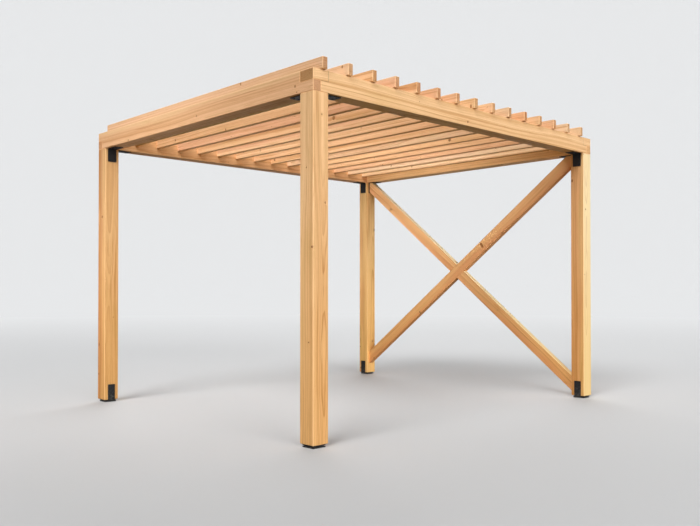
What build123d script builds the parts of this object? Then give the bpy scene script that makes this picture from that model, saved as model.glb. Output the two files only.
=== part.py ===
# Wooden garden pergola: four square posts on raised steel feet, a ring of lapped beams,
# notched rafters that run from front to back, and a pair of crossed braces on the right-hand side.
# Millimetres. +X runs to the right along the front, +Y runs from front to back, +Z is up.
# The origin lies on the ground, under the middle of the part's box.

from build123d import *
import os

# Overall frame, measured over the outside faces of the posts
frame_length = 3700
frame_depth = 3180

# Posts
post_size = 140
post_height = 2420
post_edge = 4

# Ring beams, flush with the outside faces of the posts
beam_width = 140
beam_depth = 155
beam_edge = 3

# Rafters: how far their tops stand above the beams, and where their ends and sides come
rafter_count = 15
rafter_thickness = 45
rafter_depth = 175
rafter_rise = 85
rafter_overhang = 25
rafter_back_setback = 50
rafter_left_inset = 65
rafter_right_inset = 195
rafter_edge = 3

# Crossed braces: the centre line meets each post at a height above the foot
# of the post, or at a drop below the beam
brace_width = 120
brace_thickness = 65
rising_brace_foot = 99
rising_brace_drop = 37
falling_brace_foot = 193
falling_brace_drop = 23
brace_edge = 3

# Steel angle brackets: how far they run along the beam and drop down the post
bracket_run = 148
bracket_drop = 128
bracket_width = 86
bracket_plate = 6
bracket_inner_bend = 4
bracket_corner = 8

# Raised steel feet: two plates held apart by a spacer, with one upstand against the post
foot_plate_size = 116
foot_plate = 8
foot_spacer_size = 70
foot_spacer = 6
foot_corner = 6
upstand_width = 70
upstand_height = 146
upstand_plate = 6

# Levels that follow from the sizes above
foot_height = 2 * foot_plate + foot_spacer
beam_bottom = foot_height + post_height
beam_top = beam_bottom + beam_depth
rafter_top = beam_top + rafter_rise
rafter_bottom = rafter_top - rafter_depth
lap_depth = beam_depth / 2
tongue_width = beam_width / 2

# Outside faces of the frame. The rafter ends stand out in front, so the frame sits behind the middle.
left_face = -frame_length / 2
right_face = frame_length / 2
front_face = (rafter_overhang - frame_depth) / 2
back_face = front_face + frame_depth

# Where the four posts stand, and the side of each that carries the foot's upstand
post_left = left_face + post_size / 2
post_right = right_face - post_size / 2
post_front = front_face + post_size / 2
post_back = back_face - post_size / 2
corners = {
    "front_left": (post_left, post_front),
    "front_right": (post_right, post_front),
    "back_left": (post_left, post_back),
    "back_right": (post_right, post_back),
}
upstand_turns = {"front_left": 90, "front_right": 180, "back_left": -90, "back_right": 180}


def block(x_from, x_to, y_from, y_to, z_from, z_to):
    """A plain rectangular solid between two corners."""
    size = Box(x_to - x_from, y_to - y_from, z_to - z_from)
    return Pos((x_from + x_to) / 2, (y_from + y_to) / 2, (z_from + z_to) / 2) * size


def eased(solid, amount):
    """The solid with all its edges planed off a little."""
    return chamfer(solid.edges(), amount)


def make_post(x, y):
    post = block(
        x - post_size / 2, x + post_size / 2,
        y - post_size / 2, y + post_size / 2,
        foot_height, beam_bottom,
    )
    return eased(post, post_edge)


def make_beam(length, laps_under):
    """A beam along +X with its outer face on y = 0 and its body on the +Y side.

    laps_under holds one True or False for each end. An end that laps over runs on to the
    corner in its upper half. An end that laps under stops at the neighbour's inner face
    and sends a half-width tongue through below it.
    """
    under_start, under_end = laps_under
    lap_level = beam_top - lap_depth
    body_start = beam_width if under_start else tongue_width
    body_end = length - (beam_width if under_end else tongue_width)
    arm_root = tongue_width / 2
    beam = eased(block(body_start, body_end, 0, beam_width, beam_bottom, beam_top), beam_edge)
    ends = [
        (under_start, 0, body_start + arm_root),
        (under_end, body_end - arm_root, length),
    ]
    for runs_under, arm_from, arm_to in ends:
        if runs_under:
            arm = block(arm_from, arm_to, 0, tongue_width, beam_bottom, lap_level)
        else:
            arm = block(arm_from, arm_to, 0, beam_width, lap_level, beam_top)
        beam += eased(arm, beam_edge)
    return beam


def make_beams():
    front = Pos(left_face, front_face, 0) * make_beam(frame_length, (False, False))
    back = Pos(left_face, 0, 0) * make_beam(frame_length, (True, True))
    back = Pos(0, back_face, 0) * mirror(back, Plane.XZ)
    side = make_beam(frame_depth, (True, False))
    right = Pos(right_face, front_face, 0) * (Rot(0, 0, 90) * side)
    left = mirror(Pos(right_face, front_face, 0) * (Rot(0, 0, 90) * side), Plane.YZ)
    return {"beam_front": front, "beam_back": back, "beam_left": left, "beam_right": right}


def make_rafter(x_from):
    """One rafter. Its upper part runs over the front and back beams. Between those beams it
    has its full depth, unless it lies on a side beam and is ripped down to the upper part."""
    x_to = x_from + rafter_thickness
    front_end = front_face - rafter_overhang
    back_end = back_face - rafter_back_setback
    front_inner = front_face + beam_width
    back_inner = back_face - beam_width
    rafter = eased(block(x_from, x_to, front_end, back_end, beam_top, rafter_top), rafter_edge)
    on_left_beam = x_from < left_face + beam_width
    on_right_beam = x_to > right_face - beam_width
    if not (on_left_beam or on_right_beam):
        body = block(x_from, x_to, front_inner, back_inner, rafter_bottom, rafter_top)
        rafter += eased(body, rafter_edge)
    return rafter


def make_rafters():
    first = left_face + rafter_left_inset
    last = right_face - rafter_right_inset - rafter_thickness
    pitch = (last - first) / (rafter_count - 1)
    rafters = {}
    for number in range(rafter_count):
        rafters[f"rafter_{number + 1:02d}"] = make_rafter(first + number * pitch)
    return rafters


def make_braces(brackets):
    """Two crossed braces between the right-hand posts, half lapped where they meet.

    Each one's head sits in the angle bracket of its post and is cut round the bend.
    """
    front_inner = front_face + post_size
    back_inner = back_face - post_size
    x_from = post_right - brace_thickness / 2
    x_middle = post_right
    x_to = post_right + brace_thickness / 2
    ceiling = beam_bottom - bracket_plate

    def bar(front_height, back_height, x_low, x_high):
        start = Vector(0, front_inner, front_height)
        finish = Vector(0, back_inner, back_height)
        along = finish - start
        middle = (start + finish) / 2
        length = along.length + 2 * beam_depth
        lean = Plane(origin=((x_low + x_high) / 2, middle.Y, middle.Z), x_dir=along, z_dir=(1, 0, 0))
        return lean * Box(length, brace_width, x_high - x_low)

    rise = (foot_height + rising_brace_foot, beam_bottom - rising_brace_drop)
    fall = (beam_bottom - falling_brace_drop, foot_height + falling_brace_foot)
    rising = eased(bar(*rise, x_from, x_to), brace_edge)
    falling = eased(bar(*fall, x_from, x_to), brace_edge)
    rising &= block(x_from, x_to, front_inner, back_inner - bracket_plate, foot_height, ceiling)
    falling &= block(x_from, x_to, front_inner + bracket_plate, back_inner, foot_height, ceiling)
    rising -= bar(*fall, x_from, x_middle)
    falling -= bar(*rise, x_middle, x_to)
    rising -= brackets["bracket_back_right_y"]
    falling -= brackets["bracket_front_right_y"]
    return {"brace_rising": rising, "brace_falling": falling}


def make_bracket():
    """An angle bracket in a corner at the origin: one leg down -Z on the post's face at x = 0,
    the other out along +X under the beam at z = 0."""
    outline = Polyline(
        (0, 0), (bracket_run, 0), (bracket_run, -bracket_plate), (bracket_plate, -bracket_plate),
        (bracket_plate, -bracket_drop), (0, -bracket_drop), close=True,
    )
    seen = Plane(origin=(0, bracket_width / 2, 0), x_dir=(1, 0, 0), z_dir=(0, -1, 0))
    angle = extrude(seen * make_face(outline), bracket_width, dir=(0, -1, 0))
    bend_edges = angle.edges().filter_by(Axis.Y)
    inner_edge = bend_edges.sort_by_distance((bracket_plate, 0, -bracket_plate))[0]
    angle = fillet(inner_edge, bracket_inner_bend)
    outer_edge = angle.edges().filter_by(Axis.Y).sort_by_distance((0, 0, 0))[0]
    angle = fillet(outer_edge, bracket_inner_bend + bracket_plate)
    tip_edges = angle.edges().filter_by(Axis.Z).group_by(Axis.X)[-1]
    toe_edges = angle.edges().filter_by(Axis.X).group_by(Axis.Z)[0]
    return fillet(tip_edges + toe_edges, bracket_corner)


def make_brackets():
    """Two brackets on each post, one on each inner face."""
    brackets = {}
    bracket = make_bracket()
    for name, (x, y) in corners.items():
        inward_x = 1 if x == post_left else -1
        inward_y = 1 if y == post_front else -1
        along_front = Rot(0, 0, 0 if inward_x > 0 else 180) * bracket
        along_side = Rot(0, 0, 90 if inward_y > 0 else -90) * bracket
        brackets[f"bracket_{name}_x"] = Pos(x + inward_x * post_size / 2, y, beam_bottom) * along_front
        brackets[f"bracket_{name}_y"] = Pos(x, y + inward_y * post_size / 2, beam_bottom) * along_side
    return brackets


def make_foot():
    """A raised foot at the origin, with its upstand on the post's +X face."""
    half = foot_plate_size / 2
    spacer_half = foot_spacer_size / 2
    seat_level = foot_plate + foot_spacer
    base = block(-half, half, -half, half, 0, foot_plate)
    base = fillet(base.edges().filter_by(Axis.Z), foot_corner)
    spacer = block(-spacer_half, spacer_half, -spacer_half, spacer_half, foot_plate, seat_level)
    seat = block(-half, half, -half, half, seat_level, foot_height)
    seat = fillet(seat.edges().filter_by(Axis.Z), foot_corner)
    face = post_size / 2
    reach = block(0, face + upstand_plate, -upstand_width / 2, upstand_width / 2, seat_level, foot_height)
    upstand = block(
        face, face + upstand_plate,
        -upstand_width / 2, upstand_width / 2,
        seat_level, foot_height + upstand_height,
    )
    upstand = fillet(upstand.edges().filter_by(Axis.X).group_by(Axis.Z)[-1], foot_corner)
    return base + spacer + seat + reach + upstand


def make_feet():
    feet = {}
    foot = make_foot()
    for name, (x, y) in corners.items():
        feet[f"foot_{name}"] = Pos(x, y, 0) * (Rot(0, 0, upstand_turns[name]) * foot)
    return feet


def make_pergola():
    parts = {}
    brackets = make_brackets()
    for name, (x, y) in corners.items():
        parts[f"post_{name}"] = make_post(x, y)
    parts.update(make_beams())
    parts.update(make_rafters())
    parts.update(make_braces(brackets))
    parts.update(brackets)
    parts.update(make_feet())
    return parts


os.makedirs("parts", exist_ok=True)
for node, shape in make_pergola().items():
    export_step(shape, f"parts/{node}.step")
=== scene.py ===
"""Finishes, small fixings and a plain stage for a timber pergola.

The frame comes ready made, piece by piece. Each timber gets its own cut of wood, with the
growth rings running round a heart line of its own. The steel gets a black powder coat.
Screw heads are modelled and seated on the steel and the timber that they hold.
"""

import math
import random

import bmesh
import bpy
from mathutils import Matrix, Vector
from mathutils.geometry import intersect_line_line


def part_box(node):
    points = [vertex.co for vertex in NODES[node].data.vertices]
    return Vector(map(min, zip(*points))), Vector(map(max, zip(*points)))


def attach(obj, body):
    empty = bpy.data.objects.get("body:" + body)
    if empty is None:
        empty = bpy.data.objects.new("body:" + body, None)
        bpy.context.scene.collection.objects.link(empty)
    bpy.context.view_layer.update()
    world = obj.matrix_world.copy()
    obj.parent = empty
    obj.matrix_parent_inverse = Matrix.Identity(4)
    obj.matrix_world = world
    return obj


bl_info = {
    "name": "Pergola Finish",
    "version": (1, 0, 0),
    "blender": (4, 5, 0),
    "location": "View3D > Sidebar > Pergola",
    "description": "Wood and steel finishes, screw heads and a plain stage for a timber pergola",
    "category": "Object",
}

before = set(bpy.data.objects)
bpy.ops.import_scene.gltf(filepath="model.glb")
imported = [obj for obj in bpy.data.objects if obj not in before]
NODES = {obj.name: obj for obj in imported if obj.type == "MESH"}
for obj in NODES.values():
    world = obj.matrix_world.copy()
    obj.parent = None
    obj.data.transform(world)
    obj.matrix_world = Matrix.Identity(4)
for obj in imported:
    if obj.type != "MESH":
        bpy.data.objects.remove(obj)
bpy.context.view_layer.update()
BODY = "root"

POSTS = sorted(name for name in NODES if name.startswith("post_"))
BEAMS = sorted(name for name in NODES if name.startswith("beam_"))
RAFTERS = sorted(name for name in NODES if name.startswith("rafter_"))
BRACES = sorted(name for name in NODES if name.startswith("brace_"))
BRACKETS = sorted(name for name in NODES if name.startswith("bracket_"))
FEET = sorted(name for name in NODES if name.startswith("foot_"))

# Tints of single pieces beside the rest of their kind: partly their own tone, partly painted light that
# makes a piece lighter or darker to make up for the light that falls on it
TONE_AND_LIGHT_TINTS = {
    "post_front_left": (1.00, 1.03, 1.03),
    "post_back_left": (0.80, 0.79, 0.70),
    "post_front_right": (0.96, 0.99, 0.88),
    "post_back_right": (1.10, 1.18, 1.04),
    "beam_front": (0.97, 1.01, 1.03),
    "beam_left": (0.96, 1.00, 1.05),
    "beam_right": (1.10, 1.12, 1.06),
}
# Tints of all the rafters and all the braces: partly their own tone, partly painted light that lifts them
# where the roof keeps light off them
RAFTER_TONE_AND_LIGHT_TINT = (1.07, 1.17, 1.33)
BRACE_TONE_AND_LIGHT_TINT = (1.06, 1.04, 0.97)
NO_TINT = (1.0, 1.0, 1.0)

# With the heart of its log almost straight above, a beam shows straight lines on its sides
STRAIGHT_GRAIN = math.radians(-70)

# Pieces with a painted highlight of pale wood along the side that the light falls on: the way that side
# faces, and how much of it
PAINTED_LIT_SIDES = {
    "post_front_right": (Vector((0.0, -1.0, 0.0)), 0.76),
    "brace_rising": (Vector((0.0, -0.6, 0.8)), 1.0),
}

# Tints of the marks in the wood
POOR_YEARS = (0.80, 0.69, 0.56)
GOOD_YEARS = (1.05, 1.08, 1.12)
STREAKS = (0.77, 0.66, 0.54)
BLOTCHES = (0.90, 0.90, 0.82)
FIBRES = (0.84, 0.77, 0.68)

# Colours of the marks on the wood and on the steel
CRACKS = (0.09, 0.045, 0.02)
KNIFE_LINES = (0.13, 0.065, 0.03)
SCUFFS = (0.055, 0.055, 0.058)
DUST = (0.20, 0.19, 0.17)

# How much red, green and blue a pinker piece gains
PINKER = (0.3, -0.4, -1.2)

# How dark the wood is through one year, as pairs of the part of the year and the darkness
YEAR = ((0.0, 0.10), (0.14, 0.0), (0.50, 0.14), (0.80, 0.70), (0.94, 1.0), (1.0, 0.12))

# Branches: the angle between two of them round the heart, their thickness and how far out they reach
BRANCH_ANGLE = 0.75
BRANCH_THICKNESS = (0.0032, 0.0115)
BRANCH_REACH = (0.06, 0.26)

# A point this near to a face lies on it, and boxes that overlap by less than a hair only touch
ON_FACE = 0.0005
HAIR = 0.001

# Screws in a bracket's leg, as shares of its length and of its width from the middle
BRACKET_ROWS = (0.40, 0.80)
BRACKET_COLUMNS = (-0.25, 0.25)

# Screws in a foot's upstand, as pairs: the share of its height, and of the foot's width off the middle
UPSTAND_SCREWS = ((0.22, -0.12), (0.52, 0.12), (0.82, -0.12))

# Spans between the screws along the rafter that lies on the side beam
SPANS_ALONG_BEAM = 5

# The floor's width, and from where to where it fades into the backdrop
FLOOR_WIDTH = 160.0
FADE = (5.5, 26.0)

SKY_COLOUR = (0.97, 0.985, 1.0)

# Soft suns: the way towards each, and how wide a patch of the sky it fills
SUNS = {
    "key": ((-0.96, -0.35, 0.93), math.radians(30)),
    "low": ((-0.22, -0.95, 0.16), math.radians(40)),
    "fill": ((0.70, 0.62, 0.30), math.radians(50)),
}

# Boards out on the left: their place, the spot that they light, their size and their spread
BOARDS = {
    "reflector": ((-10.0, -0.5, 0.5), (1.8, 1.0, 1.6), (1.6, 0.8), math.radians(26)),
    "strip": ((-10.0, 0.1, 0.5), (1.75, 0.1, 2.2), (1.6, 0.3), math.radians(8)),
}


# Settings that a user would change


class PERGOLA_PG_timber(bpy.types.PropertyGroup):
    early_wood: bpy.props.FloatVectorProperty(
        name="Early wood", description="Pale wood between the ring lines",
        default=(0.890, 0.560, 0.300), size=3, min=0.0, max=1.0, subtype="COLOR",
    )
    late_wood: bpy.props.FloatVectorProperty(
        name="Late wood", description="Darker wood of the ring lines",
        default=(0.560, 0.260, 0.090), size=3, min=0.0, max=1.0, subtype="COLOR",
    )
    heart_wood: bpy.props.FloatVectorProperty(
        name="Heart wood", description="Pinkish wood nearer the middle of the log",
        default=(0.800, 0.420, 0.225), size=3, min=0.0, max=1.0, subtype="COLOR",
    )
    # Colour of the painted highlight, the pale wood laid along the side of a piece that the light falls on
    painted_lit_wood: bpy.props.FloatVectorProperty(
        name="Sap wood", description="Palest wood, from just under the bark",
        default=(0.950, 0.800, 0.500), size=3, min=0.0, max=1.0, subtype="COLOR",
    )
    knot_wood: bpy.props.FloatVectorProperty(
        name="Knots", description="Wood of the knots",
        default=(0.250, 0.100, 0.035), size=3, min=0.0, max=1.0, subtype="COLOR",
    )
    low_wood: bpy.props.FloatVectorProperty(
        name="Wood near the ground", description="Deeper tint that timber has towards its foot",
        default=(0.960, 0.860, 0.660), size=3, min=0.0, max=1.0, subtype="COLOR",
    )
    ring_width: bpy.props.FloatProperty(
        name="Ring width", description="Mean distance between growth rings",
        default=0.0042, min=0.001, max=0.02, unit="LENGTH",
    )
    knot_spacing: bpy.props.FloatProperty(
        name="Knot spacing", description="Mean distance along the log between places for a branch",
        default=0.30, min=0.1, max=2.0, unit="LENGTH",
    )
    roughness: bpy.props.FloatProperty(
        name="Roughness", description="Roughness of planed and oiled wood",
        default=0.56, min=0.0, max=1.0,
    )
    grain_depth: bpy.props.FloatProperty(
        name="Grain depth", description="Height of the ring lines and fibres",
        default=0.0005, min=0.0, max=0.003, unit="LENGTH",
    )


class PERGOLA_PG_steel(bpy.types.PropertyGroup):
    coat: bpy.props.FloatVectorProperty(
        name="Powder coat", description="Colour of the steel brackets and feet",
        default=(0.011, 0.011, 0.012), size=3, min=0.0, max=1.0, subtype="COLOR",
    )
    roughness: bpy.props.FloatProperty(
        name="Roughness", description="Roughness of the powder coat",
        default=0.58, min=0.0, max=1.0,
    )
    peel: bpy.props.FloatProperty(
        name="Orange peel", description="Size of the dimples in the coat",
        default=0.0012, min=0.0003, max=0.01, unit="LENGTH",
    )


class PERGOLA_PG_fixings(bpy.types.PropertyGroup):
    pan_radius: bpy.props.FloatProperty(
        name="Pan head radius", description="Radius of the screw heads on the steel",
        default=0.0065, min=0.002, max=0.02, unit="LENGTH",
    )
    pan_height: bpy.props.FloatProperty(
        name="Pan head height", description="Height of the screw heads on the steel",
        default=0.0042, min=0.001, max=0.01, unit="LENGTH",
    )
    flush_radius: bpy.props.FloatProperty(
        name="Flush head radius", description="Radius of the countersunk heads in the timber",
        default=0.0055, min=0.002, max=0.02, unit="LENGTH",
    )
    flush_height: bpy.props.FloatProperty(
        name="Flush head height", description="Height of the countersunk heads, half of it below the wood",
        default=0.0012, min=0.0002, max=0.003, unit="LENGTH",
    )
    edge_distance: bpy.props.FloatProperty(
        name="Edge distance", description="How far screws in the timber stay from its edges",
        default=0.030, min=0.01, max=0.06, unit="LENGTH",
    )


class PERGOLA_PG_stage(bpy.types.PropertyGroup):
    ground: bpy.props.FloatVectorProperty(
        name="Ground", description="Colour of the floor as it is seen",
        default=(0.60, 0.605, 0.61), size=3, min=0.0, max=1.0, subtype="COLOR",
    )
    bounce: bpy.props.FloatVectorProperty(
        name="Ground bounce", description="Colour of the floor for the light that it sends back up",
        default=(0.111, 0.076, 0.004), size=3, min=0.0, max=1.0, subtype="COLOR",
    )
    backdrop: bpy.props.FloatVectorProperty(
        name="Backdrop", description="Colour behind the pergola",
        default=(0.80, 0.81, 0.82), size=3, min=0.0, max=1.0, subtype="COLOR",
    )
    paper_grain: bpy.props.FloatProperty(
        name="Paper grain", description="Grain of the backdrop, too fine to show",
        default=0.2, min=0.0, max=0.9, subtype="FACTOR",
    )
    sky: bpy.props.FloatProperty(
        name="Sky light", description="Strength of the even light from all round",
        default=0.14, min=0.0, max=5.0,
    )
    key: bpy.props.FloatProperty(
        name="Key light", description="Strength of the soft light from high on the left",
        default=2.22, min=0.0, max=20.0,
    )
    low: bpy.props.FloatProperty(
        name="Low light", description="Strength of the soft light that comes in low from the front",
        default=3.10, min=0.0, max=20.0,
    )
    fill: bpy.props.FloatProperty(
        name="Fill light", description="Strength of the soft light from the back right",
        default=2.50, min=0.0, max=20.0,
    )
    reflector: bpy.props.FloatProperty(
        name="Reflector", description="Power of the board that throws light in through the left side",
        default=14.0, min=0.0, max=500.0, unit="POWER",
    )
    strip: bpy.props.FloatProperty(
        name="Strip reflector", description="Power of the narrow board that lights the far side of the ring",
        default=1.4, min=0.0, max=500.0, unit="POWER",
    )
    camera_place: bpy.props.FloatVectorProperty(
        name="Camera place", description="Where the camera stands",
        default=(-5.324, -5.568, 1.090), size=3, subtype="TRANSLATION",
    )
    camera_turn: bpy.props.FloatProperty(
        name="Camera turn", description="Heading of the camera, clockwise from +Y",
        default=math.radians(43.75), subtype="ANGLE",
    )
    camera_tilt: bpy.props.FloatProperty(
        name="Camera tilt", description="How far the camera looks up",
        default=math.radians(0.62), subtype="ANGLE",
    )
    camera_lens: bpy.props.FloatProperty(
        name="Lens", description="Focal length on a 36 mm wide sensor",
        default=40.1, min=10.0, max=200.0,
    )
    camera_rise: bpy.props.FloatProperty(
        name="Lens rise", description="How far the view is shifted up, as a share of its width",
        default=0.0245, min=-0.2, max=0.2,
    )


# Shader helpers


class Nodes:
    """Adds nodes to one tree and joins them up."""

    def __init__(self, tree):
        self.tree = tree
        self.tree.nodes.clear()

    def join(self, source, target):
        """Joins a socket to an input, or sets the input when source is a plain value."""
        if isinstance(source, bpy.types.NodeSocket):
            self.tree.links.new(source, target)
        elif source is not None:
            target.default_value = source

    def node(self, kind, inputs=None, **settings):
        """A new node with these settings, its inputs given by their names or their numbers."""
        made = self.tree.nodes.new(kind)
        for key, value in settings.items():
            setattr(made, key, value)
        for key, source in (inputs or {}).items():
            self.join(source, made.inputs[key])
        return made

    def math(self, operation, first, second=None, clamp=False):
        made = self.node("ShaderNodeMath", {0: first, 1: second}, operation=operation, use_clamp=clamp)
        return made.outputs[0]

    def times(self, first, second):
        return self.math("MULTIPLY", first, second)

    def plus(self, first, second):
        return self.math("ADD", first, second)

    def vector(self, operation, first, second=None):
        made = self.node("ShaderNodeVectorMath", {0: first, 1: second}, operation=operation)
        return made.outputs["Value"] if operation in {"LENGTH", "DOT_PRODUCT"} else made.outputs[0]

    def stretch(self, place, scale):
        """The place with a scale of its own along each axis."""
        return self.vector("MULTIPLY", place, scale)

    def combine(self, x, y, z):
        return self.node("ShaderNodeCombineXYZ", {0: x, 1: y, 2: z}).outputs[0]

    def separate(self, vector):
        return self.node("ShaderNodeSeparateXYZ", {0: vector}).outputs

    def noise(self, vector, scale=1.0, detail=2.0, roughness=0.5):
        inputs = {"Vector": vector, "Scale": scale, "Detail": detail, "Roughness": roughness}
        return self.node("ShaderNodeTexNoise", inputs, noise_dimensions="3D").outputs

    def smooth(self, value, low, high):
        """0 at low and beyond, 1 at high and beyond, with a smooth step between, up or down."""
        inputs = {"Value": value, "From Min": low, "From Max": high}
        return self.node("ShaderNodeMapRange", inputs, interpolation_type="SMOOTHSTEP").outputs["Result"]

    def spread(self, value, low, high):
        """Turns 0 to 1 into low to high."""
        inputs = {"Value": value, "To Min": low, "To Max": high}
        return self.node("ShaderNodeMapRange", inputs, clamp=False).outputs["Result"]

    def mix(self, factor, first, second, blend="MIX"):
        made = self.node("ShaderNodeMix", data_type="RGBA", blend_type=blend, clamp_factor=True)
        self.join(factor, made.inputs["Factor"])
        colour_a, colour_b = [socket for socket in made.inputs if socket.type == "RGBA"]
        self.join(self.colour(first), colour_a)
        self.join(self.colour(second), colour_b)
        return next(socket for socket in made.outputs if socket.type == "RGBA")

    def tint(self, factor, colour, tint):
        """The colour multiplied by the tint, as far as the factor says."""
        return self.mix(factor, colour, tint, "MULTIPLY")

    @staticmethod
    def colour(value):
        """A plain colour with its alpha, or the socket as it is."""
        if isinstance(value, bpy.types.NodeSocket):
            return value
        return (value[0], value[1], value[2], 1.0)

    def ramp(self, factor, stops):
        """A grey ramp through (place, grey) stops."""
        made = self.node("ShaderNodeValToRGB", {"Fac": factor})
        elements = made.color_ramp.elements
        while len(elements) < len(stops):
            elements.new(0.5)
        for element, (place, grey) in zip(elements, stops):
            element.position = place
            element.color = (grey, grey, grey, 1.0)
        return made.outputs["Color"]

    def bump(self, height, distance, strength=1.0):
        inputs = {"Height": height, "Distance": distance, "Strength": strength}
        return self.node("ShaderNodeBump", inputs).outputs["Normal"]

    def blend(self, factor, first, second):
        """Goes from one shader to another."""
        return self.node("ShaderNodeMixShader", {0: factor, 1: first, 2: second}).outputs[0]

    def looking_rays(self):
        """1 for the camera's rays and for those that glossy or clear surfaces send out, else 0."""
        rays = self.node("ShaderNodeLightPath").outputs
        from_surfaces = self.math("MAXIMUM", rays["Is Glossy Ray"], rays["Is Transmission Ray"])
        return self.math("MAXIMUM", rays["Is Camera Ray"], from_surfaces)


class Bench(Nodes):
    """The nodes of one new material."""

    def __init__(self, name):
        self.material = bpy.data.materials.new(name)
        self.material.use_nodes = True
        super().__init__(self.material.node_tree)
        self.output = self.node("ShaderNodeOutputMaterial")
        self.shader = self.node("ShaderNodeBsdfPrincipled")
        self.join(self.shader.outputs["BSDF"], self.output.inputs["Surface"])


# Timber


def box_middle(name):
    low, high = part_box(name)
    return (low + high) / 2


def unit(axis, sign):
    direction = Vector((0.0, 0.0, 0.0))
    direction[axis] = sign
    return direction


def shaded(colour, factor):
    return [value * factor for value in colour]


def grain_direction(name):
    """The way the wood runs in a piece: along its longest side, or along a brace's own slope."""
    low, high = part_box(name)
    reach = high - low
    if name in BRACES:
        corners = [vertex.co for vertex in NODES[name].data.vertices]
        near = min(co.z for co in corners if co.y < low.y + ON_FACE)
        far = min(co.z for co in corners if co.y > high.y - ON_FACE)
        return Vector((0.0, reach.y, far - near)).normalized()
    return unit(max(range(3), key=lambda axis: reach[axis]), 1.0)


class Log:
    """The log that a piece was sawn from: its heart line, and sockets for places in it."""

    def __init__(self, bench, name, reach, bearing, dice):
        self.grain = grain_direction(name)
        level = Vector((0.0, 0.0, 1.0)) if abs(self.grain.z) < 0.9 else Vector((0.0, -1.0, 0.0))
        side = self.grain.cross(level).normalized()
        up = side.cross(self.grain)
        outward = math.cos(bearing) * side + math.sin(bearing) * up
        heart = box_middle(name) - outward * reach - self.grain * dice.uniform(4.0, 40.0)
        turn = Matrix((self.grain, outward, self.grain.cross(outward))).transposed()
        self.coordinates = bench.node("ShaderNodeTexCoord").outputs
        into_log = {"Vector": self.coordinates["Object"], "Location": heart, "Rotation": turn.to_euler()}
        self.place = bench.node("ShaderNodeMapping", into_log, vector_type="TEXTURE").outputs["Vector"]

        # The heart wanders a little, and the rings are lumpy
        wander = self.drift(bench, (0.55, 2.0, 2.0), width=0.060, detail=1.0)
        lumps = self.drift(bench, (2.4, 13.0, 13.0), width=0.008, detail=2.0)
        self.bent = bench.vector("ADD", bench.vector("ADD", self.place, wander), lumps)
        self.along, out, across = bench.separate(self.bent)
        self.radius = bench.vector("LENGTH", bench.combine(0.0, out, across))
        self.angle = bench.math("ARCTAN2", across, out)

    def drift(self, bench, scale, width, detail):
        """A slow shift to and fro across the grain."""
        cloud = bench.noise(bench.stretch(self.place, scale), detail=detail)["Color"]
        return bench.stretch(bench.vector("SUBTRACT", cloud, (0.5, 0.5, 0.5)), (0.0, width, width))

    def facing(self, bench, way):
        """How squarely a face looks one way, from -1 to 1."""
        return bench.vector("DOT_PRODUCT", self.coordinates["Normal"], way)


def knots_in(bench, log, spacing, share):
    """Branches that run straight out from the heart, some of them cut off short and grown over.

    Returns how far each place is from the nearest branch, as a share of its thickness, then
    the thickness, with 0 for places where no branch grew, and last 1 where one grew or else 0.
    """
    grid = bench.combine(
        bench.math("DIVIDE", log.along, spacing), bench.math("DIVIDE", log.angle, BRANCH_ANGLE), 0.0,
    )
    inputs = {"Vector": grid, "Scale": 1.0, "Randomness": 0.85}
    cells = bench.node("ShaderNodeTexVoronoi", inputs, voronoi_dimensions="2D", feature="F1")
    offset = bench.separate(bench.vector("SUBTRACT", grid, cells.outputs["Position"]))
    lengthwise = bench.times(offset[0], spacing * 0.78)
    sideways = bench.times(bench.times(offset[1], BRANCH_ANGLE), log.radius)
    distance = bench.vector("LENGTH", bench.combine(lengthwise, sideways, 0.0))
    lumps = bench.noise(log.place, scale=130.0, detail=1.0)["Fac"]
    distance = bench.times(distance, bench.spread(lumps, 0.65, 1.35))
    chance, girth, reach = bench.separate(cells.outputs["Color"])
    grown = bench.math("LESS_THAN", chance, share)
    alive = bench.math("LESS_THAN", log.radius, bench.spread(reach, *BRANCH_REACH))
    taper = bench.smooth(log.radius, 0.0, 0.055)
    thickness = bench.times(bench.spread(bench.times(girth, girth), *BRANCH_THICKNESS), taper)
    thickness = bench.math("MAXIMUM", thickness, 0.0005)
    there = bench.times(grown, alive)
    return bench.math("DIVIDE", distance, thickness), bench.times(thickness, there), there


def growth_rings(bench, log, knot_share, knot_size, dice):
    """The radius of each place's ring, swelling out round the knots, and how dark it is there.

    The rings are uneven in width, and each has a strength of its own.
    """
    look = bpy.context.scene.pergola_timber
    nearness = bench.math("DIVIDE", knot_share, 2.2)
    nearness = bench.math("EXPONENT", bench.times(bench.times(nearness, nearness), -1.0))
    swell = bench.times(nearness, knot_size)
    radius = bench.plus(log.radius, bench.times(swell, 1.3))
    drift_place = bench.combine(bench.times(radius, 45.0), 3.7, dice.uniform(0, 50))
    drift = bench.noise(drift_place, detail=1.0)["Fac"]
    years = bench.plus(bench.math("DIVIDE", radius, look.ring_width), bench.times(drift, 5.0))
    late = bench.ramp(bench.math("FRACT", years), YEAR)
    year = bench.plus(bench.math("FLOOR", years), dice.uniform(0, 100))
    luck = bench.node("ShaderNodeTexWhiteNoise", {"W": year}, noise_dimensions="1D").outputs["Value"]
    return radius, bench.times(late, bench.spread(luck, 0.30, 1.0))


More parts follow.
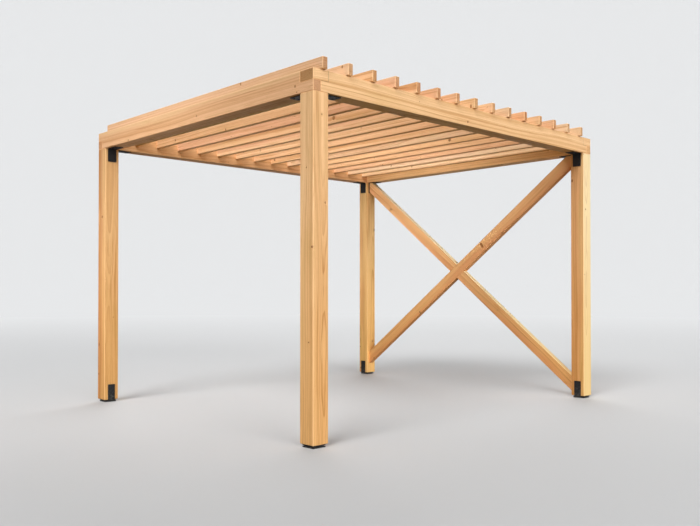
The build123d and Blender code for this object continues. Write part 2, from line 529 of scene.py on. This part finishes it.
def plain_wood(bench, log, radius, late, fibre, reach, rosy, dice):
    """Pinkish heart wood inside paler outer wood, with rings, bands of good and poor years, long
    streaks, blotches, fibres and flecks."""
    look = bpy.context.scene.pergola_timber
    band_place = bench.combine(bench.times(log.along, 0.12), bench.times(radius, 70.0), dice.uniform(0, 50))
    band = bench.noise(band_place, detail=2.0, roughness=0.55)["Fac"]
    streak = bench.noise(bench.stretch(log.bent, (0.9, 85.0, 85.0)), detail=3.0, roughness=0.6)["Fac"]
    blotch = bench.noise(bench.stretch(log.place, (1.3, 8.0, 8.0)), detail=3.0)["Fac"]
    fleck = bench.noise(bench.stretch(log.bent, (30.0, 1400.0, 1400.0)), detail=1.0)["Fac"]
    heart_edge = reach + dice.uniform(-0.04, 0.07)
    ragged = bench.plus(radius, bench.spread(blotch, -0.06, 0.06))
    heart = bench.times(bench.smooth(ragged, heart_edge + 0.02, heart_edge - 0.02), rosy)
    colour = bench.mix(heart, look.early_wood, look.heart_wood)
    colour = bench.mix(bench.times(late, 0.70), colour, look.late_wood)
    colour = bench.tint(bench.smooth(band, 0.48, 0.72), colour, POOR_YEARS)
    colour = bench.tint(bench.smooth(band, 0.48, 0.30), colour, GOOD_YEARS)
    colour = bench.tint(bench.smooth(streak, 0.54, 0.72), colour, STREAKS)
    colour = bench.tint(bench.smooth(blotch, 0.54, 0.76), colour, BLOTCHES)
    colour = bench.tint(bench.smooth(fibre, 0.50, 0.78), colour, FIBRES)
    return bench.mix(bench.times(bench.smooth(fleck, 0.60, 0.72), 0.30), colour, look.late_wood)


def add_painted_lit_side(bench, log, colour, late, side):
    """Painted highlight: pale wood on the side of the piece that faces the given way, where the light falls.
    """
    way, share = side
    painted_light = bench.smooth(log.facing(bench, way), 0.55, 0.80)
    painted_light = bench.times(painted_light, bench.spread(late, share, share * 0.65))
    return bench.mix(painted_light, colour, bpy.context.scene.pergola_timber.painted_lit_wood)


def add_knots(bench, colour, knot_share, knot_there):
    """Brown knots, with small rings of their own and a dark rim. Also returns where they are."""
    look = bpy.context.scene.pergola_timber
    body = bench.times(bench.smooth(knot_share, 1.08, 0.88), knot_there)
    rim = bench.times(bench.smooth(knot_share, 1.45, 1.0), knot_there)
    rings = bench.math("FRACT", bench.times(knot_share, 3.2))
    brown = bench.mix(rings, look.knot_wood, shaded(look.knot_wood, 1.9))
    brown = bench.mix(bench.smooth(knot_share, 0.62, 0.95), brown, shaded(look.knot_wood, 0.45))
    colour = bench.mix(bench.times(rim, 0.55), colour, look.late_wood)
    return bench.mix(bench.times(body, 0.88), colour, brown), body


def add_sawn_ends(bench, log, colour, late, end_shade, dice):
    """Darker ends, with fine cracks that run out from the heart. Also returns where both are."""
    look = bpy.context.scene.pergola_timber
    end = bench.smooth(bench.math("ABSOLUTE", log.facing(bench, log.grain)), 0.72, 0.92)
    spokes = bench.combine(bench.times(log.angle, 24.0), bench.times(log.radius, 9.0), dice.uniform(0, 9))
    crack = bench.times(bench.smooth(bench.noise(spokes)["Fac"], 0.66, 0.72), end)
    colour = bench.tint(end, colour, end_shade)
    colour = bench.mix(bench.times(bench.times(late, end), 0.45), colour, shaded(look.late_wood, 0.6))
    return bench.mix(bench.times(crack, 0.30), colour, CRACKS), end, crack


def add_painted_edge_highlight(bench, log, colour):
    """Painted highlight: slightly paler wood on the eased edges, whose faces look along no axis."""
    parts = bench.separate(bench.vector("ABSOLUTE", log.coordinates["Normal"]))
    squareness = bench.math("MAXIMUM", bench.math("MAXIMUM", parts[0], parts[1]), parts[2])
    # How much painted highlight each eased edge gets
    edge = bench.times(bench.smooth(squareness, 0.97, 0.85), 0.40)
    return bench.mix(edge, colour, bpy.context.scene.pergola_timber.early_wood)


def add_layout_marks(bench, log, colour, name):
    """The joiner's knife lines round the laps, on the front face of a beam along X.

    At each end one line stands on the neighbour's inner side, above mid depth, and one runs
    level at mid depth from there to the lap.
    """
    low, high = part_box(name)
    middle = box_middle(name)
    width = high.y - low.y
    x, y, z = bench.separate(log.coordinates["Object"])

    def line(distance):
        return bench.smooth(bench.math("ABSOLUTE", distance), 0.0020, 0.0010)

    off_middle = bench.math("ABSOLUTE", bench.math("SUBTRACT", x, middle.x))
    from_end = bench.math("SUBTRACT", (high.x - low.x) / 2, off_middle)
    upright = line(bench.math("SUBTRACT", from_end, width))
    upright = bench.times(upright, bench.math("GREATER_THAN", z, middle.z))
    level = line(bench.math("SUBTRACT", z, middle.z))
    level = bench.times(level, bench.math("LESS_THAN", from_end, width))
    on_front = bench.math("LESS_THAN", y, low.y + HAIR)
    marks = bench.times(bench.math("MAXIMUM", upright, level), on_front)
    return bench.mix(bench.times(marks, 0.60), colour, KNIFE_LINES)


def timber_material(
    name, reach, bearing, tone, rosy, knots=0.34, end_shade=(0.70, 0.62, 0.56), marked=False,
):
    """Wood for one piece, cut from its own log.

    reach is how far the log's heart lies from the middle of the piece, and bearing the side
    that it lies on. tone is the piece's tint, partly its own tone and partly painted light, rosy
    how much of its heart wood is pinkish, knots the share of the places for a branch that hold
    one, and end_shade the tint of its sawn ends. A marked piece keeps the joiner's knife lines.
    """
    look = bpy.context.scene.pergola_timber
    dice = random.Random("log of " + name)
    bench = Bench("wood_" + name)
    log = Log(bench, name, reach, bearing, dice)
    knot_share, knot_size, knot_there = knots_in(bench, log, look.knot_spacing, knots)
    radius, late = growth_rings(bench, log, knot_share, knot_size, dice)
    fibre = bench.noise(bench.stretch(log.bent, (9.0, 520.0, 520.0)), detail=3.0, roughness=0.65)["Fac"]
    colour = plain_wood(bench, log, radius, late, fibre, reach, rosy, dice)
    # The piece's tint: its own tone, and partly painted light
    colour = bench.tint(1.0, colour, tone)
    # Painted highlight: paler wood along the side that the light falls on
    if name in PAINTED_LIT_SIDES:
        colour = add_painted_lit_side(bench, log, colour, late, PAINTED_LIT_SIDES[name])

    # Towards the ground the wood is a deeper orange
    height = bench.separate(log.coordinates["Object"])[2]
    colour = bench.tint(bench.smooth(height, 2.2, 0.0), colour, look.low_wood)
    colour, knot = add_knots(bench, colour, knot_share, knot_there)
    colour, end, crack = add_sawn_ends(bench, log, colour, late, end_shade, dice)
    # Painted highlight on the eased edges, left off the braces
    if name not in BRACES:
        colour = add_painted_edge_highlight(bench, log, colour)
    if marked:
        colour = add_layout_marks(bench, log, colour, name)
    bench.join(colour, bench.shader.inputs["Base Color"])

    # Dull between the ring lines, a little glossier on them, dull on the ends
    rough = bench.plus(bench.spread(fibre, -0.06, 0.10), bench.times(late, -0.07))
    rough = bench.plus(rough, bench.times(end, 0.16))
    bench.join(bench.math("ADD", rough, look.roughness, clamp=True), bench.shader.inputs["Roughness"])
    bench.shader.inputs["Specular IOR Level"].default_value = 0.12

    relief = bench.plus(bench.times(late, 0.55), bench.times(fibre, 0.45))
    relief = bench.plus(relief, bench.times(knot, 0.8))
    relief = bench.math("SUBTRACT", relief, bench.times(crack, 2.5))
    bench.join(bench.bump(relief, look.grain_depth), bench.shader.inputs["Normal"])
    return bench.material


def dress(name, material):
    """Gives a piece of the frame its finish, with its mesh left as it is."""
    slots = NODES[name].data.materials
    slots.clear()
    slots.append(material)


def near_tint(dice, spread, base, hues=0.5):
    """A tint near the base one, a little lighter or darker and, by the share hues, pinker or paler."""
    level = 1.0 + dice.uniform(-spread, spread)
    warmth = dice.uniform(-hues, hues) * spread
    return [level * (1.0 + gain * warmth) * own for gain, own in zip(PINKER, base)]


class PERGOLA_OT_finish_posts(bpy.types.Operator):
    """Gives each post its own upright cut of wood"""

    bl_idname = "pergola.finish_posts"
    bl_label = "Finish Posts"

    def execute(self, context):
        for name in POSTS:
            dice = random.Random("tone of " + name)
            wood = timber_material(
                name, reach=dice.uniform(0.060, 0.085), bearing=dice.uniform(0.9, 2.2),
                tone=near_tint(dice, 0.03, TONE_AND_LIGHT_TINTS.get(name, NO_TINT)), rosy=0.8,
            )
            dress(name, wood)
        return {"FINISHED"}


class PERGOLA_OT_finish_beams(bpy.types.Operator):
    """Gives each ring beam its own cut of wood"""

    bl_idname = "pergola.finish_beams"
    bl_label = "Finish Beams"

    def execute(self, context):
        for name in BEAMS:
            dice = random.Random("tone of " + name)
            front = name == "beam_front"
            reach = dice.uniform(0.07, 0.10)
            bearing = dice.uniform(0.0, math.tau)
            if front:
                bearing = STRAIGHT_GRAIN
            wood = timber_material(
                name, reach=reach, bearing=bearing,
                tone=near_tint(dice, 0.03, TONE_AND_LIGHT_TINTS.get(name, NO_TINT)), rosy=0.3 if front else 0.6,
                end_shade=(0.60, 0.53, 0.44) if front else (0.80, 0.75, 0.74), marked=front,
            )
            dress(name, wood)
        return {"FINISHED"}


class PERGOLA_OT_finish_rafters(bpy.types.Operator):
    """Gives each rafter its own cut of wood, from pale yellow to pinkish"""

    bl_idname = "pergola.finish_rafters"
    bl_label = "Finish Rafters"

    def execute(self, context):
        for name in RAFTERS:
            dice = random.Random("tone of " + name)
            wood = timber_material(
                name, reach=dice.uniform(0.05, 0.13), bearing=dice.uniform(0.0, math.tau),
                tone=near_tint(dice, 0.07, RAFTER_TONE_AND_LIGHT_TINT, hues=1.4), rosy=dice.uniform(0.0, 1.0),
                end_shade=(0.66, 0.57, 0.50),
            )
            dress(name, wood)
        return {"FINISHED"}


class PERGOLA_OT_finish_braces(bpy.types.Operator):
    """Gives each crossed brace wood that runs along its slope"""

    bl_idname = "pergola.finish_braces"
    bl_label = "Finish Braces"

    def execute(self, context):
        for name in BRACES:
            dice = random.Random("tone of " + name)
            wood = timber_material(
                name, reach=dice.uniform(0.06, 0.12), bearing=dice.uniform(0.0, math.tau),
                tone=BRACE_TONE_AND_LIGHT_TINT, rosy=0.9, knots=0.36,
            )
            dress(name, wood)
        return {"FINISHED"}


# Steel


def coated_steel(name, wear):
    """Black powder coat with fine dimples, a few scuffs and a little dust low down."""
    look = bpy.context.scene.pergola_steel
    bench = Bench(name)
    place = bench.node("ShaderNodeTexCoord").outputs["Object"]
    dust_patch = bench.noise(place, scale=38.0, detail=4.0, roughness=0.6)["Fac"]
    low_down = bench.smooth(bench.separate(place)[2], 0.16, 0.0)
    dust = bench.times(low_down, bench.smooth(dust_patch, 0.42, 0.72))
    scuff_place = bench.stretch(place, (30.0, 30.0, 90.0))
    scuff = bench.smooth(bench.noise(scuff_place, detail=5.0, roughness=0.7)["Fac"], 0.62, 0.74)
    scuff = bench.times(scuff, wear)
    cloud = bench.noise(place, scale=14.0, detail=2.0)["Fac"]
    colour = bench.mix(cloud, shaded(look.coat, 0.8), shaded(look.coat, 1.5))
    colour = bench.mix(bench.times(scuff, 0.35), colour, SCUFFS)
    colour = bench.mix(bench.times(dust, 0.35), colour, DUST)
    bench.join(colour, bench.shader.inputs["Base Color"])
    rough = bench.plus(bench.spread(cloud, -0.05, 0.07), bench.times(dust, 0.25))
    rough = bench.plus(rough, bench.times(scuff, 0.12))
    bench.join(bench.math("ADD", rough, look.roughness, clamp=True), bench.shader.inputs["Roughness"])
    bench.shader.inputs["Specular IOR Level"].default_value = 0.20
    peel = bench.noise(place, scale=1.0 / look.peel, detail=2.0)["Fac"]
    bench.join(bench.bump(peel, distance=0.00008, strength=0.6), bench.shader.inputs["Normal"])
    return bench.material


class PERGOLA_OT_finish_steel(bpy.types.Operator):
    """Coats the brackets and the feet in black"""

    bl_idname = "pergola.finish_steel"
    bl_label = "Finish Steel"

    def execute(self, context):
        bracket_coat = coated_steel("coat_brackets", wear=0.5)
        foot_coat = coated_steel("coat_feet", wear=0.8)
        for name in BRACKETS:
            dress(name, bracket_coat)
        for name in FEET:
            dress(name, foot_coat)
        return {"FINISHED"}


# Screws


def deselect_all():
    for piece in bpy.context.selected_objects:
        piece.select_set(False)


def pick_faces(mesh, wanted):
    """Selects the faces of the mesh in edit mode for which wanted(middle, normal) holds."""
    bpy.ops.mesh.select_mode(type="FACE")
    bpy.ops.mesh.select_all(action="DESELECT")
    shape = bmesh.from_edit_mesh(mesh)
    for face in shape.faces:
        face.select_set(wanted(face.calc_center_median(), face.normal))
    bmesh.update_edit_mesh(mesh)


def pick_every_other_corner(mesh):
    """Narrows what is selected from one face to every other corner of it."""
    shape = bmesh.from_edit_mesh(mesh)
    face = next(face for face in shape.faces if face.select)
    wanted = [corner.index for corner in face.verts][::2]
    bpy.ops.mesh.select_mode(type="VERT")
    bpy.ops.mesh.select_all(action="DESELECT")
    shape = bmesh.from_edit_mesh(mesh)
    shape.verts.ensure_lookup_table()
    for index in wanted:
        shape.verts[index].select_set(True)
    bmesh.update_edit_mesh(mesh)


def model_head(radius, height, sunk=0.0):
    """One screw head at the origin with a six-lobed recess in its top, its base sunk below z = 0."""
    rounding = height * 0.45
    rim = (radius - rounding) * 0.42
    waist = 0.68
    recess = height * 0.5
    deselect_all()
    bpy.ops.mesh.primitive_cylinder_add(
        vertices=12, radius=radius, depth=height, end_fill_type="NGON",
        location=(0.0, 0.0, height / 2 - sunk),
    )
    head = bpy.context.object
    mesh = head.data
    bpy.ops.object.transform_apply(location=True, rotation=True, scale=True)
    bpy.ops.object.mode_set(mode="EDIT")
    pick_faces(mesh, lambda middle, normal: normal.z > 0.9)
    bpy.ops.mesh.bevel(offset=rounding, segments=2, affect="EDGES")
    pick_faces(mesh, lambda middle, normal: normal.z > 0.99)
    bpy.ops.mesh.inset(thickness=rim)
    pick_every_other_corner(mesh)
    bpy.ops.transform.resize(value=(waist, waist, 1.0), center_override=(0.0, 0.0, height - sunk))
    pick_faces(mesh, lambda middle, normal: normal.z > 0.99 and middle.xy.length < radius * 0.1)
    bpy.ops.mesh.extrude_region_move(TRANSFORM_OT_translate={"value": (0.0, 0.0, -recess)})
    bpy.ops.object.mode_set(mode="OBJECT")
    bpy.ops.object.shade_smooth_by_angle(angle=math.radians(35))
    return head


def pan_head():
    look = bpy.context.scene.pergola_fixings
    return model_head(look.pan_radius, look.pan_height)


def flush_head():
    look = bpy.context.scene.pergola_fixings
    return model_head(look.flush_radius, look.flush_height, sunk=look.flush_height / 2)


def seat_heads(name, head, seats, coat):
    """A copy of the head on each seat, each turned as the driver left it, joined as one piece."""
    dice = random.Random(name)
    deselect_all()
    for place, outward in seats:
        copy = head.copy()
        copy.data = head.data.copy()
        bpy.context.scene.collection.objects.link(copy)
        driven = Matrix.Rotation(dice.uniform(0.0, math.tau), 4, "Z")
        faced = outward.to_track_quat("Z", "Y").to_matrix().to_4x4()
        copy.matrix_world = Matrix.Translation(place) @ faced @ driven
        copy.select_set(True)
        bpy.context.view_layer.objects.active = copy
    bpy.ops.object.join()
    piece = bpy.context.object
    bpy.ops.object.transform_apply(location=True, rotation=True, scale=True)
    piece.name = name
    piece.data.name = name
    piece.data.materials.append(coat)
    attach(piece, BODY)


def share_room(first, second):
    """True where the boxes of two pieces overlap."""
    first_low, first_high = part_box(first)
    second_low, second_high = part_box(second)
    return all(
        first_low[axis] < second_high[axis] - HAIR and second_low[axis] < first_high[axis] - HAIR
        for axis in range(3)
    )


def bracket_seats(name):
    """Four screws in each leg, in two rows that stand clear of the bend and of the tip."""
    low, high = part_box(name)
    axis = 0 if name.endswith("_x") else 1
    post = name.replace("bracket", "post")[:-2]
    inward = 1.0 if box_middle(name)[axis] > box_middle(post)[axis] else -1.0
    heel = low[axis] if inward > 0 else high[axis]
    toe = [vertex.co[axis] for vertex in NODES[name].data.vertices if vertex.co.z < low.z + ON_FACE]
    plate = max(toe) - min(toe)
    seats = []
    for row in BRACKET_ROWS:
        for column in BRACKET_COLUMNS:
            on_post = box_middle(name)
            on_post[1 - axis] += column * (high - low)[1 - axis]
            on_beam = on_post.copy()
            on_post[axis] = heel + inward * plate
            on_post.z = high.z - row * (high.z - low.z)
            on_beam[axis] = heel + inward * row * (high - low)[axis]
            on_beam.z = high.z - plate
            seats.append((on_post, unit(axis, inward)))
            seats.append((on_beam, unit(2, -1.0)))
    return seats


class PERGOLA_OT_screw_brackets(bpy.types.Operator):
    """Drives pan head screws through the brackets, apart from those that a brace covers"""

    bl_idname = "pergola.screw_brackets"
    bl_label = "Screw Brackets"

    def execute(self, context):
        head = pan_head()
        coat = coated_steel("coat_bracket_screws", wear=0.9)
        for name in BRACKETS:
            if not any(share_room(name, brace) for brace in BRACES):
                seat_heads(name.replace("bracket", "bracket_screws"), head, bracket_seats(name), coat)
        bpy.data.objects.remove(head)
        return {"FINISHED"}


def upstand_side(foot):
    """The axis and the sign of the post's side that the foot's upstand lies on."""
    low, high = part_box(foot)
    post_low, post_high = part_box(foot.replace("foot", "post"))
    proud = {}
    for axis in (0, 1):
        proud[axis, -1.0] = post_low[axis] - low[axis]
        proud[axis, 1.0] = high[axis] - post_high[axis]
    return max(proud, key=proud.get)


def foot_seats(name):
    """Three screws up the upstand, to the left and the right in turn."""
    axis, sign = upstand_side(name)
    low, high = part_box(name)
    seat_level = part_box(name.replace("foot", "post"))[0].z
    seats = []
    for share, column in UPSTAND_SCREWS:
        place = box_middle(name.replace("foot", "post"))
        place[axis] = high[axis] if sign > 0 else low[axis]
        place[1 - axis] += column * (high - low)[1 - axis]
        place.z = seat_level + share * (high.z - seat_level)
        seats.append((place, unit(axis, sign)))
    return seats


class PERGOLA_OT_screw_feet(bpy.types.Operator):
    """Drives pan head screws through the upstands of the feet"""

    bl_idname = "pergola.screw_feet"
    bl_label = "Screw Feet"

    def execute(self, context):
        head = pan_head()
        coat = coated_steel("coat_foot_screws", wear=1.0)
        for name in FEET:
            seat_heads(name.replace("foot", "foot_screws"), head, foot_seats(name), coat)
        bpy.data.objects.remove(head)
        return {"FINISHED"}


def rafter_seats(name):
    """Screws down into the two beams that a rafter crosses, or all along the one that it lies on."""
    low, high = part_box(name)
    front = box_middle("beam_front").y
    back = box_middle("beam_back").y
    lies_along = low.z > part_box("beam_front")[1].z - HAIR
    spans = SPANS_ALONG_BEAM if lies_along else 1
    seats = []
    for step in range(spans + 1):
        place = Vector((box_middle(name).x, front + (back - front) * step / spans, high.z))
        seats.append((place, unit(2, 1.0)))
    return seats


def lap_seats(edge):
    """Two screws down through each corner of the ring, beside the side face."""
    left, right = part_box("beam_left")[0].x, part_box("beam_right")[1].x
    front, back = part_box("beam_front"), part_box("beam_back")
    width = front[1].y - front[0].y
    top = front[1].z
    seats = []
    for x in (left + edge, right - edge):
        for y in (front[0].y, back[1].y - width):
            seats.append((Vector((x, y + edge, top)), unit(2, 1.0)))
            seats.append((Vector((x, y + width - edge, top)), unit(2, 1.0)))
    return seats


class PERGOLA_OT_screw_roof(bpy.types.Operator):
    """Drives countersunk screws down through the rafters and the corner laps"""

    bl_idname = "pergola.screw_roof"
    bl_label = "Screw Roof"

    def execute(self, context):
        head = flush_head()
        coat = coated_steel("coat_roof_screws", wear=0.6)
        seats = [seat for name in RAFTERS for seat in rafter_seats(name)]
        seat_heads("rafter_screws", head, seats, coat)
        seat_heads("lap_screws", head, lap_seats(context.scene.pergola_fixings.edge_distance), coat)
        bpy.data.objects.remove(head)
        return {"FINISHED"}


def brace_foot(name):
    """The middle of a brace's low end on its outer side, and the way that it climbs from there."""
    low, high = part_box(name)
    grain = grain_direction(name)
    climb = grain if grain.z > 0 else -grain
    end = low.y if climb.y > 0 else high.y
    cut = [vertex.co.z for vertex in NODES[name].data.vertices if abs(vertex.co.y - end) < ON_FACE]
    return Vector((high.x, end, (min(cut) + max(cut)) / 2)), climb


def brace_seats(edge):
    """On the outer side of the braces, two screws where they cross and two at each foot."""
    seats = []
    feet = [brace_foot(name) for name in BRACES]
    aside = Vector((0.0, 0.0, edge))
    (first, first_climb), (second, second_climb) = feet
    crossing = intersect_line_line(first, first + first_climb, second, second + second_climb)[0]
    from_foot = edge * 1.6
    for middle in [crossing] + [foot + climb * from_foot for foot, climb in feet]:
        seats.append((middle + aside, unit(0, 1.0)))
        seats.append((middle - aside, unit(0, 1.0)))
    return seats


class PERGOLA_OT_screw_braces(bpy.types.Operator):
    """Drives countersunk screws into the crossing and the feet of the braces"""

    bl_idname = "pergola.screw_braces"
    bl_label = "Screw Braces"

    def execute(self, context):
        head = flush_head()
        coat = coated_steel("coat_brace_screws", wear=0.6)
        seat_heads("brace_screws", head, brace_seats(context.scene.pergola_fixings.edge_distance), coat)
        bpy.data.objects.remove(head)
        return {"FINISHED"}


# Stage


def floor_material(settings):
    """Pale as it is seen, fading into the backdrop far out, and dark for the light that it sends up."""
    bench = Bench("floor")
    seen = bench.looking_rays()
    bench.join(bench.mix(seen, settings.bounce, settings.ground), bench.shader.inputs["Base Color"])
    bench.shader.inputs["Roughness"].default_value = 0.9
    bench.shader.inputs["Specular IOR Level"].default_value = 0.1
    glow = bench.node("ShaderNodeEmission", {"Color": bench.colour(settings.backdrop)}).outputs[0]
    distance = bench.vector("LENGTH", bench.node("ShaderNodeTexCoord").outputs["Object"])
    far = bench.times(bench.smooth(distance, *FADE), seen)
    bench.join(bench.blend(far, bench.shader.outputs["BSDF"], glow), bench.output.inputs["Surface"])
    return bench.material


def pale_world(settings):
    """An even sky, seen as a plain pale backdrop with a very fine grain."""
    world = bpy.data.worlds.new("even_sky")
    world.use_nodes = True
    sky = Nodes(world.node_tree)

    def light(colour, strength):
        inputs = {"Color": sky.colour(colour), "Strength": strength}
        return sky.node("ShaderNodeBackground", inputs).outputs[0]

    way = sky.node("ShaderNodeTexCoord").outputs["Generated"]
    grain = sky.node("ShaderNodeTexWhiteNoise", {"Vector": way}).outputs["Value"]
    level = sky.spread(grain, 1.0 - settings.paper_grain, 1.0 + settings.paper_grain)
    daylight = light(SKY_COLOUR, settings.sky)
    backdrop = light(settings.backdrop, level)
    output = sky.node("ShaderNodeOutputWorld")
    sky.join(sky.blend(sky.looking_rays(), daylight, backdrop), output.inputs["Surface"])
    return world


def soft_sun(name, toward, width, strength):
    """Light from far off, out of a wide round patch of the sky."""
    data = bpy.data.lights.new(name, "SUN")
    data.angle = width
    data.energy = strength
    lamp = bpy.data.objects.new(name, data)
    bpy.context.scene.collection.objects.link(lamp)
    lamp.rotation_euler = (-Vector(toward)).to_track_quat("-Z", "Y").to_euler()


def reflector(name, place, aim, size, spread, power):
    """A board that throws soft light at one spot, and isn't seen itself, nor in glossy faces."""
    data = bpy.data.lights.new(name, "AREA")
    data.shape = "RECTANGLE"
    data.size, data.size_y = size
    data.spread = spread
    data.energy = power
    lamp = bpy.data.objects.new(name, data)
    lamp.visible_camera = False
    lamp.visible_glossy = False
    bpy.context.scene.collection.objects.link(lamp)
    lamp.location = place
    lamp.rotation_euler = (Vector(place) - Vector(aim)).to_track_quat("Z", "Y").to_euler()


class PERGOLA_OT_stage(bpy.types.Operator):
    """Sets out the floor, the soft light and the camera"""

    bl_idname = "pergola.stage"
    bl_label = "Set Out Stage"

    def execute(self, context):
        settings = context.scene.pergola_stage
        bpy.ops.mesh.primitive_plane_add(size=FLOOR_WIDTH, location=(0.0, 0.0, 0.0))
        floor = context.object
        floor.name = "floor"
        floor.data.materials.append(floor_material(settings))
        context.scene.world = pale_world(settings)
        for name, (toward, width) in SUNS.items():
            soft_sun(name, toward, width, getattr(settings, name))
        for name, (place, aim, size, spread) in BOARDS.items():
            reflector(name, place, aim, size, spread, getattr(settings, name))

        data = bpy.data.cameras.new("camera")
        camera = bpy.data.objects.new("camera", data)
        context.scene.collection.objects.link(camera)
        data.sensor_fit = "HORIZONTAL"
        data.sensor_width = 36.0
        data.lens = settings.camera_lens
        data.shift_y = settings.camera_rise
        data.clip_end = 200.0
        camera.location = settings.camera_place
        camera.rotation_euler = (math.pi / 2 + settings.camera_tilt, 0.0, -settings.camera_turn)
        context.scene.camera = camera
        context.scene.view_settings.view_transform = "Standard"
        return {"FINISHED"}


class PERGOLA_PT_panel(bpy.types.Panel):
    """Lists the steps in the order in which they run"""

    bl_idname = "PERGOLA_PT_panel"
    bl_label = "Pergola"
    bl_space_type = "VIEW_3D"
    bl_region_type = "UI"
    bl_category = "Pergola"

    def draw(self, context):
        layout = self.layout
        for step in STEPS:
            layout.operator(step.bl_idname)
        for key in GROUPS:
            group = getattr(context.scene, key)
            box = layout.box()
            for setting in group.__annotations__:
                box.prop(group, setting)


STEPS = (
    PERGOLA_OT_finish_posts,
    PERGOLA_OT_finish_beams,
    PERGOLA_OT_finish_rafters,
    PERGOLA_OT_finish_braces,
    PERGOLA_OT_finish_steel,
    PERGOLA_OT_screw_brackets,
    PERGOLA_OT_screw_feet,
    PERGOLA_OT_screw_roof,
    PERGOLA_OT_screw_braces,
    PERGOLA_OT_stage,
)
GROUPS = {
    "pergola_timber": PERGOLA_PG_timber,
    "pergola_steel": PERGOLA_PG_steel,
    "pergola_fixings": PERGOLA_PG_fixings,
    "pergola_stage": PERGOLA_PG_stage,
}


def register():
    for group in GROUPS.values():
        bpy.utils.register_class(group)
    for step in STEPS:
        bpy.utils.register_class(step)
    bpy.utils.register_class(PERGOLA_PT_panel)
    for key, group in GROUPS.items():
        setattr(bpy.types.Scene, key, bpy.props.PointerProperty(type=group))


def unregister():
    for key in GROUPS:
        delattr(bpy.types.Scene, key)
    bpy.utils.unregister_class(PERGOLA_PT_panel)
    for step in reversed(STEPS):
        bpy.utils.unregister_class(step)
    for group in GROUPS.values():
        bpy.utils.unregister_class(group)


def main():
    register()
    for step in STEPS:
        area, action = step.bl_idname.split(".")
        getattr(getattr(bpy.ops, area), action)()


if __name__ == "__main__":
    main()
